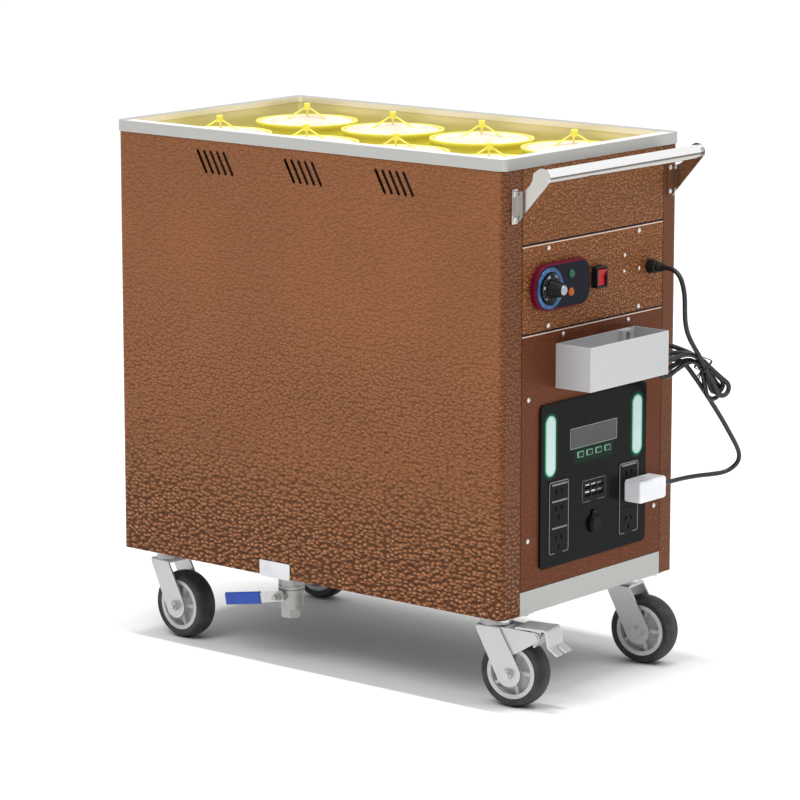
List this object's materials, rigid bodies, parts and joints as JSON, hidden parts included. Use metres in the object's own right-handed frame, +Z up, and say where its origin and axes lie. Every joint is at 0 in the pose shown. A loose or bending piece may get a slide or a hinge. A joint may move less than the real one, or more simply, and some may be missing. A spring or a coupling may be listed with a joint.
{
  "type": "dim sum steamer cart",
  "caption": "Sheet-metal food cart with a steam well of lift-out baskets, thermostat, power station, push handle, tray, drain valve and swivel casters.",
  "frame": {"origin": "on the floor under the middle of the cart's outline, its power cord left out", "axes": "+Z up, +X towards the push handle and controls, +Y to the right of someone pushing the cart"},
  "size_m": [0.8266, 0.49, 0.7895],
  "materials": {
    "copper_sheet": "hammered copper-brown coat",
    "satin_steel": "satin stainless",
    "tank_steel": "pressed stainless",
    "bright_steel": "zinc-plated steel",
    "yellow_plastic": "moulded yellow",
    "black_gloss": "glossy black",
    "black_plastic": "moulded black",
    "led_white": "light diffuser",
    "lcd_grey": "display window",
    "button_green": "small keys",
    "navy_plastic": "dark navy",
    "lamp_plastic": "lamp lenses",
    "red_plastic": "red lit rocker",
    "blue_vinyl": "dipped vinyl",
    "cord_rubber": "black cable",
    "white_plastic": "moulded white",
    "wheel": "black tyre on a grey core"
  },
  "bodies": {
    "cart": {"base_pan": "satin_steel", "side_panel_left": "copper_sheet", "side_panel_right": "copper_sheet", "rear_panel": "copper_sheet", "end_top_panel": "copper_sheet", "control_panel": "copper_sheet", "lower_panel": "copper_sheet", "cross_rails": "bright_steel", "top_rim": "satin_steel", "tank": "tank_steel", "heating_element": "bright_steel", "power_unit": "black_plastic", "power_panel": "black_gloss", "led_strips": "led_white", "lcd_window": "lcd_grey", "outlet_sockets": "black_plastic", "dc_sockets": "black_plastic", "tray": "satin_steel", "thermostat_plate": "navy_plastic", "thermostat_body": "black_plastic", "indicator_lamps": "lamp_plastic", "rocker_housing": "black_plastic", "cable_gland": "black_plastic", "handle_brackets": "satin_steel", "handle_tube": "satin_steel", "fasteners": "bright_steel", "valve_body": "bright_steel", "caster_plates": "bright_steel", "cord_upper": "cord_rubber", "cord_hank": "cord_rubber", "cord_lower": "cord_rubber", "cord_tie": "cord_rubber", "plug": "white_plastic"},
    "rack": {"steam_rack": "tank_steel"},
    "basket_1": {"basket_1": "yellow_plastic"},
    "basket_2": {"basket_2": "yellow_plastic"},
    "basket_3": {"basket_3": "yellow_plastic"},
    "basket_4": {"basket_4": "yellow_plastic"},
    "basket_5": {"basket_5": "yellow_plastic"},
    "basket_6": {"basket_6": "yellow_plastic"},
    "basket_7": {"basket_7": "yellow_plastic"},
    "basket_8": {"basket_8": "yellow_plastic"},
    "knob": {"thermostat_knob": "black_plastic"},
    "rocker": {"power_rocker": "red_plastic"},
    "button_1": {"power_button_1": "button_green"},
    "button_2": {"power_button_2": "button_green"},
    "button_3": {"power_button_3": "button_green"},
    "button_4": {"power_button_4": "button_green"},
    "drain_lever": {"valve_stem": "bright_steel", "valve_lever": "bright_steel", "lever_sleeve": "blue_vinyl"},
    "fork_handle_left": {"fork_handle_left": "bright_steel"},
    "wheel_handle_left": {"wheel_handle_left": "wheel"},
    "brake_pedal": {"brake_pedal": "bright_steel"},
    "fork_handle_right": {"fork_handle_right": "bright_steel"},
    "wheel_handle_right": {"wheel_handle_right": "wheel"},
    "fork_nose_left": {"fork_nose_left": "bright_steel"},
    "wheel_nose_left": {"wheel_nose_left": "wheel"},
    "fork_nose_right": {"fork_nose_right": "bright_steel"},
    "wheel_nose_right": {"wheel_nose_right": "wheel"}
  },
  "joints": [
    {"name": "rack_lift", "type": "slide", "parent": "cart", "child": "rack", "axis": [0, 0, 1], "range_m": [0, 0.115]},
    {"name": "basket_1_lift", "type": "slide", "parent": "rack", "child": "basket_1", "axis": [0, 0, 1], "range_m": [0, 0.12]},
    {"name": "basket_2_lift", "type": "slide", "parent": "rack", "child": "basket_2", "axis": [0, 0, 1], "range_m": [0, 0.12]},
    {"name": "basket_3_lift", "type": "slide", "parent": "rack", "child": "basket_3", "axis": [0, 0, 1], "range_m": [0, 0.12]},
    {"name": "basket_4_lift", "type": "slide", "parent": "rack", "child": "basket_4", "axis": [0, 0, 1], "range_m": [0, 0.12]},
    {"name": "basket_5_lift", "type": "slide", "parent": "rack", "child": "basket_5", "axis": [0, 0, 1], "range_m": [0, 0.12]},
    {"name": "basket_6_lift", "type": "slide", "parent": "rack", "child": "basket_6", "axis": [0, 0, 1], "range_m": [0, 0.12]},
    {"name": "basket_7_lift", "type": "slide", "parent": "rack", "child": "basket_7", "axis": [0, 0, 1], "range_m": [0, 0.12]},
    {"name": "basket_8_lift", "type": "slide", "parent": "rack", "child": "basket_8", "axis": [0, 0, 1], "range_m": [0, 0.12]},
    {"name": "knob_turn", "type": "hinge", "parent": "cart", "child": "knob", "pos_m": [0.33236, -0.1105, 0.596], "axis": [-1, 0, 0], "range_deg": [0, 270]},
    {"name": "rocker_tip", "type": "hinge", "parent": "cart", "child": "rocker", "pos_m": [0.33816, 0.0105, 0.597], "axis": [0, -1, 0], "range_deg": [0, 18]},
    {"name": "button_1_press", "type": "slide", "parent": "cart", "child": "button_1", "axis": [-1, 0, 0], "range_m": [0, 0.001], "stiffness_N_per_m": 400},
    {"name": "button_2_press", "type": "slide", "parent": "cart", "child": "button_2", "axis": [-1, 0, 0], "range_m": [0, 0.001], "stiffness_N_per_m": 400},
    {"name": "button_3_press", "type": "slide", "parent": "cart", "child": "button_3", "axis": [-1, 0, 0], "range_m": [0, 0.001], "stiffness_N_per_m": 400},
    {"name": "button_4_press", "type": "slide", "parent": "cart", "child": "button_4", "axis": [-1, 0, 0], "range_m": [0, 0.001], "stiffness_N_per_m": 400},
    {"name": "drain_turn", "type": "hinge", "parent": "cart", "child": "drain_lever", "pos_m": [-0.09564, -0.16, 0.101], "axis": [0, -1, 0], "range_deg": [-10, 80]},
    {"name": "swivel_handle_left", "type": "hinge", "parent": "cart", "child": "fork_handle_left", "pos_m": [0.28236, -0.155, 0.116], "axis": [0, 0, 1], "continuous": true},
    {"name": "roll_handle_left", "type": "hinge", "parent": "fork_handle_left", "child": "wheel_handle_left", "pos_m": [0.31594, -0.14968, 0.051], "axis": [-0.1564, 0.9877, 0], "continuous": true},
    {"name": "brake_press", "type": "hinge", "parent": "fork_handle_left", "child": "brake_pedal", "pos_m": [0.35644, -0.14327, 0.108], "axis": [-0.1564, 0.9877, 0], "range_deg": [0, 12]},
    {"name": "swivel_handle_right", "type": "hinge", "parent": "cart", "child": "fork_handle_right", "pos_m": [0.28236, 0.155, 0.116], "axis": [0, 0, 1], "continuous": true},
    {"name": "roll_handle_right", "type": "hinge", "parent": "fork_handle_right", "child": "wheel_handle_right", "pos_m": [0.31603, 0.15973, 0.051], "axis": [-0.1392, 0.9903, 0], "continuous": true},
    {"name": "swivel_nose_left", "type": "hinge", "parent": "cart", "child": "fork_nose_left", "pos_m": [-0.34364, -0.155, 0.116], "axis": [0, 0, 1], "continuous": true},
    {"name": "roll_nose_left", "type": "hinge", "parent": "fork_nose_left", "child": "wheel_nose_left", "pos_m": [-0.30972, -0.15737, 0.051], "axis": [0.0698, 0.9976, 0], "continuous": true},
    {"name": "swivel_nose_right", "type": "hinge", "parent": "cart", "child": "fork_nose_right", "pos_m": [-0.34364, 0.155, 0.116], "axis": [0, 0, 1], "continuous": true},
    {"name": "roll_nose_right", "type": "hinge", "parent": "fork_nose_right", "child": "wheel_nose_right", "pos_m": [-0.30972, 0.15737, 0.051], "axis": [-0.0698, 0.9976, 0], "continuous": true}
  ]
}
